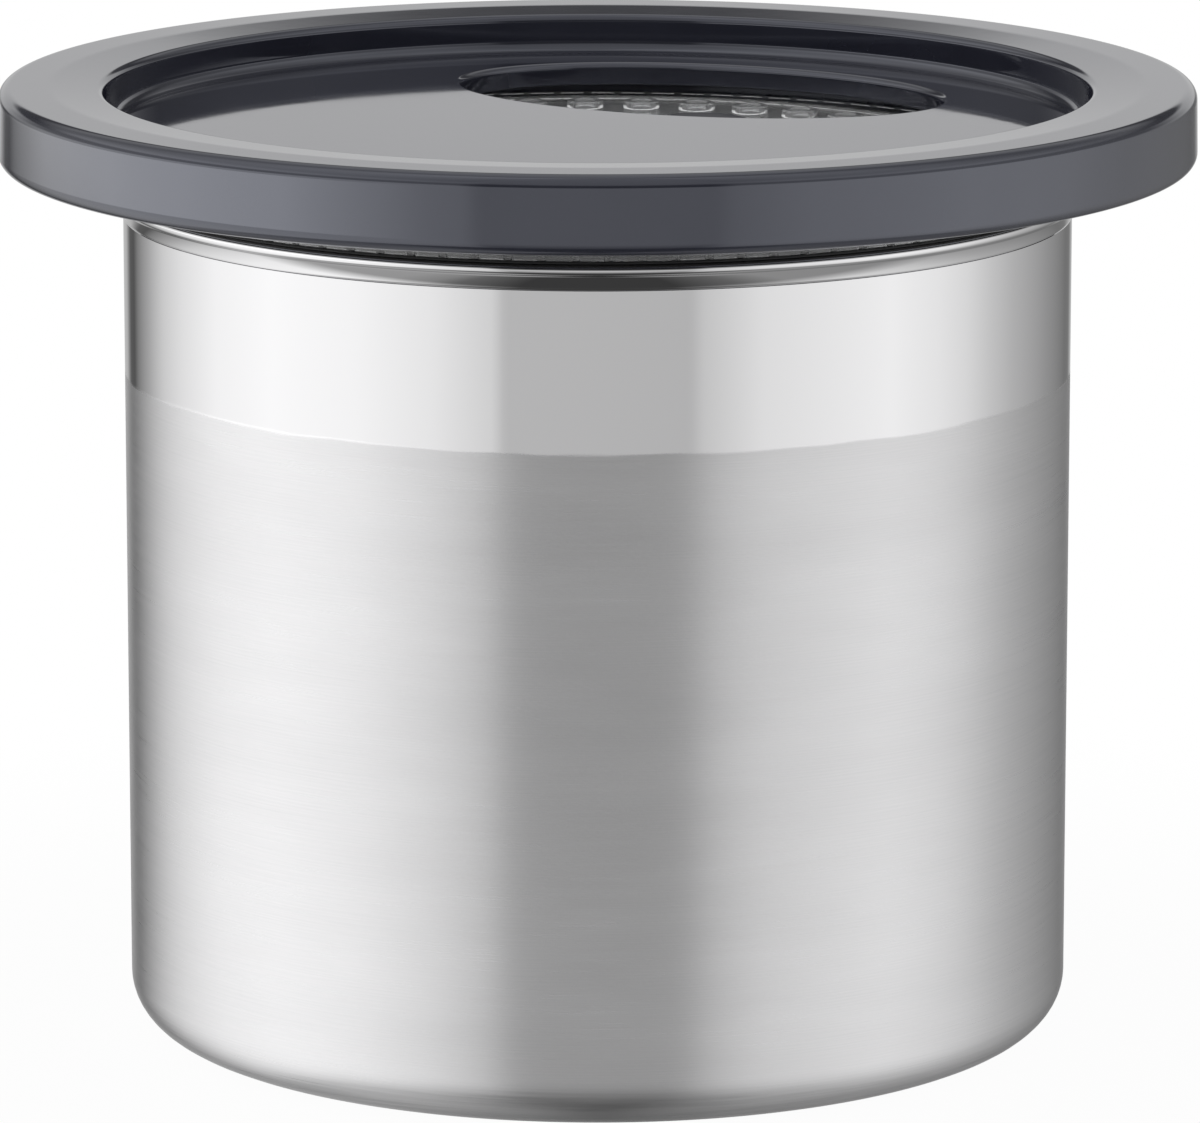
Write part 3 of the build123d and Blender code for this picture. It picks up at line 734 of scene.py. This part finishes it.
BUTTON_RADIUS = 5.5
BUTTON_FLANGE_RADIUS = 6.6
BUTTON_FLANGE_TOP = PLATE_BOTTOM - 0.3
BUTTON_FLANGE_BOTTOM = BUTTON_FLANGE_TOP - 1
BUTTON_COLLAR = (3.7, 4.5)
BUTTON_FILLET = 0.2
ROD_BORE = 1.55
ROD_BORE_TOP = BUTTON_TOP - 1.2
button_corners = [
    (0, BUTTON_TOP - 0.45, 0),
    (2.6, BUTTON_TOP - 0.4, 1.0),
    (4.6, BUTTON_TOP, 0.5),
    (BUTTON_RADIUS, BUTTON_TOP, 0.5),
    (BUTTON_RADIUS, BUTTON_FLANGE_TOP, BUTTON_FILLET),
    (BUTTON_FLANGE_RADIUS, BUTTON_FLANGE_TOP, BUTTON_FILLET),
    (BUTTON_FLANGE_RADIUS, BUTTON_FLANGE_BOTTOM, BUTTON_FILLET),
    (BUTTON_COLLAR[1], BUTTON_FLANGE_BOTTOM, BUTTON_FILLET),
    (BUTTON_COLLAR[1], BUTTON_BOTTOM, BUTTON_FILLET),
    (BUTTON_COLLAR[0], BUTTON_BOTTOM, BUTTON_FILLET),
    (BUTTON_COLLAR[0], BUTTON_FLANGE_BOTTOM, BUTTON_FILLET),
    (ROD_BORE, BUTTON_FLANGE_BOTTOM, 0),
    (ROD_BORE, ROD_BORE_TOP, 0),
    (0, ROD_BORE_TOP, 0),
]
button = lathe("push_button", round_off(button_corners, False), False, 96)
move_mesh(button, 0, WINDOW_CENTRE, 0)
install(button, SLATE, "release_button", "release")


# Button spring: wire wound round the release rod, drawn at one fixed length; it doesn't shorten as
# the button goes down

COIL_RADIUS = 3.2
COIL_TURNS = 7
COIL_STEPS = 32
WIRE_RADIUS = 0.25
WIRE_SIDES = 12
COIL_BOTTOM, COIL_TOP = heights_of("release_spring")
coil_height = COIL_TOP - COIL_BOTTOM
bpy.ops.object.select_all(action="DESELECT")
bpy.ops.mesh.primitive_circle_add(
    vertices=WIRE_SIDES,
    radius=WIRE_RADIUS * MM,
    location=(COIL_RADIUS * MM, 0, (COIL_BOTTOM + WIRE_RADIUS) * MM),
    rotation=(math.radians(90), 0, 0),
)
coil = bpy.context.object
coil.name = "button_spring"
bpy.ops.object.transform_apply(location=True, rotation=True, scale=True)
winding = coil.modifiers.new("winding", "SCREW")
winding.axis = "Z"
winding.screw_offset = (coil_height - 2 * WIRE_RADIUS) / COIL_TURNS * MM
winding.iterations = COIL_TURNS
winding.steps = COIL_STEPS
winding.render_steps = COIL_STEPS
bpy.ops.object.modifier_apply(modifier=winding.name)
bpy.ops.object.mode_set(mode="EDIT")
bpy.ops.mesh.select_all(action="SELECT")
bpy.ops.mesh.fill_holes(sides=0)
bpy.ops.mesh.normals_make_consistent(inside=False)
bpy.ops.object.mode_set(mode="OBJECT")
move_mesh(coil, 0, WINDOW_CENTRE, 0)
install(coil, SPRING, "release_spring", "lid")
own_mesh(coil)


# CAD pieces that keep their shape

CAD_FINISHES = {
    "cam_sleeve": ACETAL,
    "retaining_clip": SPRING,
    "glide_washer": ACETAL,
    "piston": ACETAL,
    "piston_seal": DARK_RUBBER,
    "cross_pin": SPRING,
    "exhaust_flap": GREY_RUBBER,
    "flap_retainer": ACETAL,
    "pump_cylinder": BARREL,
    "cylinder_seal": GREY_RUBBER,
    "plug_floor": SLATE,
    "floor_gasket": GREY_RUBBER,
    "floor_screws": SPRING,
    "intake_valve": GREY_RUBBER,
    "filter_screen": SPRING,
    "filter_cap": SLATE,
    "release_stem": SPRING,
    "release_seal": GREY_RUBBER,
}
for node_name, material in CAD_FINISHES.items():
    for material_slot in nodes[node_name].material_slots:
        material_slot.material = material


# Camera, as in the photograph: places in metres, the lens and the sensor in millimetres

VIEW_TURN = math.radians(25)
CAMERA_REACH = 0.87543
CAMERA_HEIGHT = 0.23198
AIM_RIGHT = 0.00025
AIM_HEIGHT = 0.04925
CAMERA_LENS = 252.0
SENSOR_WIDTH = 36
right = Vector((math.cos(VIEW_TURN), math.sin(VIEW_TURN), 0))
camera_place = Vector(
    (math.sin(VIEW_TURN) * CAMERA_REACH, -math.cos(VIEW_TURN) * CAMERA_REACH, CAMERA_HEIGHT)
)
aim = right * AIM_RIGHT + Vector((0, 0, AIM_HEIGHT))
look = (aim - camera_place).to_track_quat("-Z", "Y")
bpy.ops.object.camera_add(location=camera_place, rotation=look.to_euler())
camera = bpy.context.object
camera.data.sensor_fit = "HORIZONTAL"
camera.data.sensor_width = SENSOR_WIDTH
camera.data.lens = CAMERA_LENS
camera.data.clip_end = 50
bpy.context.scene.camera = camera


# Studio: soft boxes all round, whose brightness follows the bearing and the height

BRIGHTEST = 1.67
world = bpy.data.worlds.new("studio")
bpy.context.scene.world = world
world.use_nodes = True
sky = world.node_tree
sky.nodes.clear()


def sky_node(kind, **settings):
    """A node of the studio's light."""
    node = sky.nodes.new(kind)
    for key, value in settings.items():
        setattr(node, key, value)
    return node


def sky_ramp(source, stops):
    """A level by position, from given stops of (position, level)."""
    ramp = sky_node("ShaderNodeValToRGB")
    elements = ramp.color_ramp.elements
    while len(elements) > 1:
        elements.remove(elements[-1])
    elements[0].position = stops[0][0]
    elements[0].color = (stops[0][1],) * 3 + (1,)
    for position, level in stops[1:]:
        elements.new(position).color = (level,) * 3 + (1,)
    sky.links.new(source, ramp.inputs["Fac"])
    return ramp.outputs["Color"]


def by_bearing(stops):
    """A ramp over bearings in degrees from the camera's side, left minus and right plus."""
    shares = [(angle / 360 + 0.5, level) for angle, level in stops]
    return sky_ramp(bearing_share.outputs["Result"], shares)


def by_height(stops):
    """A ramp over heights in degrees above the horizon."""
    shares = [(math.sin(math.radians(angle)) / 2 + 0.5, level) for angle, level in stops]
    return sky_ramp(height_share.outputs["Result"], shares)


def times(first, second):
    """Two levels multiplied."""
    product = sky_node("ShaderNodeVectorMath", operation="MULTIPLY")
    sky.links.new(first, product.inputs[0])
    sky.links.new(second, product.inputs[1])
    return product.outputs["Vector"]


def blend_light(share, first, second):
    """The first light where the share is nought, the second where it is one."""
    mixer = sky_node("ShaderNodeMix", data_type="RGBA")
    sky.links.new(share, mixer.inputs["Factor"])
    sky.links.new(first, mixer.inputs["A"])
    sky.links.new(second, mixer.inputs["B"])
    return mixer.outputs["Result"]


# Bearing and height of a direction, each as a share from nought to one
direction = sky_node("ShaderNodeTexCoord")
turned = sky_node("ShaderNodeMapping")
turned.inputs["Rotation"].default_value = (0, 0, -VIEW_TURN)
axes = sky_node("ShaderNodeSeparateXYZ")
sky.links.new(direction.outputs["Generated"], turned.inputs["Vector"])
sky.links.new(turned.outputs["Vector"], axes.inputs["Vector"])
forward = sky_node("ShaderNodeMath", operation="MULTIPLY")
forward.inputs[1].default_value = -1
sky.links.new(axes.outputs["Y"], forward.inputs[0])
bearing = sky_node("ShaderNodeMath", operation="ARCTAN2")
sky.links.new(axes.outputs["X"], bearing.inputs[0])
sky.links.new(forward.outputs["Value"], bearing.inputs[1])
bearing_share = sky_node("ShaderNodeMapRange")
bearing_share.inputs["From Min"].default_value = -math.pi
bearing_share.inputs["From Max"].default_value = math.pi
sky.links.new(bearing.outputs["Value"], bearing_share.inputs["Value"])
height_share = sky_node("ShaderNodeMapRange")
height_share.inputs["From Min"].default_value = -1
height_share.inputs["From Max"].default_value = 1
sky.links.new(axes.outputs["Z"], height_share.inputs["Value"])

# The ring of soft boxes, by bearing
ring_light = by_bearing(
    [
        (-180, 0.36), (-164, 0.32), (-158, 0.08), (-153, 0.07), (-149, 0.17), (-140, 0.34),
        (-130, 0.58), (-120, 0.74), (-105, 0.92), (-85, 1), (-60, 0.94), (-40, 0.82),
        (-25, 0.65), (-22, 0.48), (22, 0.46), (25.5, 0.57), (40, 0.75), (75, 0.89),
        (90, 0.8), (100, 0.7), (110, 0.55), (120, 0.43), (140, 0.26), (158, 0.13),
        (164, 0.13), (170, 0.3), (180, 0.34),
    ]
)

# What comes up from the floor, by bearing
floor_light = by_bearing(
    [
        (-180, 0.1), (-140, 0.25), (-120, 0.36), (-65, 0.3), (-52, 0.22), (-44, 0.12),
        (-24, 0.04), (24, 0.04), (44, 0.12), (60, 0.25), (110, 0.25), (180, 0.1),
    ]
)

# The boxes on each side, by height
left_heights = by_height(
    [
        (-45, 0.92), (-25, 1), (-9.2, 1), (-8.1, 1.6), (-5.5, 1.6), (-4.5, 1), (3, 1),
        (7, 0.42), (17, 0.38), (24, 0.85), (40, 0.6), (60, 0.65), (90, 0.7),
    ]
)
right_heights = by_height(
    [
        (-45, 0.72), (-25, 0.97), (-9, 1), (2, 1), (6, 0.42), (18, 0.4), (25, 0.75),
        (40, 0.55), (60, 0.6), (90, 0.65),
    ]
)
front_heights = by_height(
    [
        (-45, 0.4), (-25, 0.75), (-14, 1), (-1, 1), (3, 0.12), (18, 0.12), (26, 0.75), (90, 0.9),
    ]
)
back_heights = by_height(
    [
        (-3, 0.1), (0, 0.44), (4, 0.48), (12.5, 0.48), (15.5, 0.06), (21, 0.05), (28, 0.3),
        (60, 0.45), (90, 0.45),
    ]
)

# How they meet
right_share = by_bearing([(-62, 0), (-32, 1)])
front_share = by_bearing([(-27, 0), (-22, 1), (22, 1), (27, 0)])
back_share = times(
    by_bearing([(-155, 1), (-130, 0), (130, 0), (155, 1)]),
    by_height([(-3, 0), (0, 1)]),
)
above_floor = by_height([(-50, 0), (-42, 1)])
side_heights = blend_light(right_share, left_heights, right_heights)
walls = times(ring_light, blend_light(front_share, side_heights, front_heights))
all_round = blend_light(back_share, walls, back_heights)
studio = blend_light(above_floor, floor_light, all_round)

# The camera and the clear plastic see white, and every other ray sees the soft boxes
lit = sky_node("ShaderNodeVectorMath", operation="SCALE")
lit.inputs["Scale"].default_value = BRIGHTEST
sky.links.new(studio, lit.inputs[0])
rays = sky_node("ShaderNodeLightPath")
seen = sky_node("ShaderNodeMath", operation="MAXIMUM")
sky.links.new(rays.outputs["Is Camera Ray"], seen.inputs[0])
sky.links.new(rays.outputs["Is Transmission Ray"], seen.inputs[1])
white = sky_node("ShaderNodeRGB")
white.outputs["Color"].default_value = (1, 1, 1, 1)
shown = blend_light(seen.outputs["Value"], lit.outputs["Vector"], white.outputs["Color"])
glow = sky_node("ShaderNodeBackground")
sky.links.new(shown, glow.inputs["Color"])
sky_out = sky_node("ShaderNodeOutputWorld")
sky.links.new(glow.outputs["Background"], sky_out.inputs["Surface"])


# Floor: white, with the soft shadow, and a hair under the base ring so that they don't share a plane.
# The side and the two distances between which the shadow fades to white are in metres.

FLOOR_GAP = 0.02
FLOOR_SIDE = 8
SHADOW_FADE = (0.06, 0.16)
bpy.ops.object.select_all(action="DESELECT")
bpy.ops.mesh.primitive_plane_add(size=FLOOR_SIDE, location=(0, 0, -FLOOR_GAP * MM))
floor = bpy.context.object
floor.name = "floor"
floor_paint = new_material("floor_white")
floor_shader = surface_of(floor_paint)
floor_shader.inputs["Base Color"].default_value = (0.85, 0.85, 0.85, 1)
floor_shader.inputs["Roughness"].default_value = 0.9
floor_glow = add(floor_paint, "ShaderNodeEmission")
floor_glow.inputs["Color"].default_value = (1, 1, 1, 1)
floor_rays = add(floor_paint, "ShaderNodeLightPath")
camera_ray = floor_rays.outputs["Is Camera Ray"]
clear_ray = floor_rays.outputs["Is Transmission Ray"]
floor_seen = combine(floor_paint, "MAXIMUM", camera_ray, clear_ray)
floor_place = add(floor_paint, "ShaderNodeTexCoord")
floor_distance = add(floor_paint, "ShaderNodeVectorMath", operation="LENGTH")
wire(floor_paint, floor_place.outputs["Object"], floor_distance.inputs[0])
floor_share = spread(floor_paint, floor_distance.outputs["Value"], 0.96, 1, *SHADOW_FADE, True)
floor_white = combine(floor_paint, "MULTIPLY", floor_seen, floor_share)
floor_mix = add(floor_paint, "ShaderNodeMixShader")
floor_out = floor_paint.node_tree.nodes["Material Output"]
wire(floor_paint, floor_white, floor_mix.inputs["Fac"])
wire(floor_paint, floor_shader.outputs["BSDF"], floor_mix.inputs[1])
wire(floor_paint, floor_glow.outputs["Emission"], floor_mix.inputs[2])
wire(floor_paint, floor_mix.outputs["Shader"], floor_out.inputs["Surface"])
dress(floor, floor_paint)
floor.visible_glossy = False

bpy.context.scene.view_settings.view_transform = "Standard"
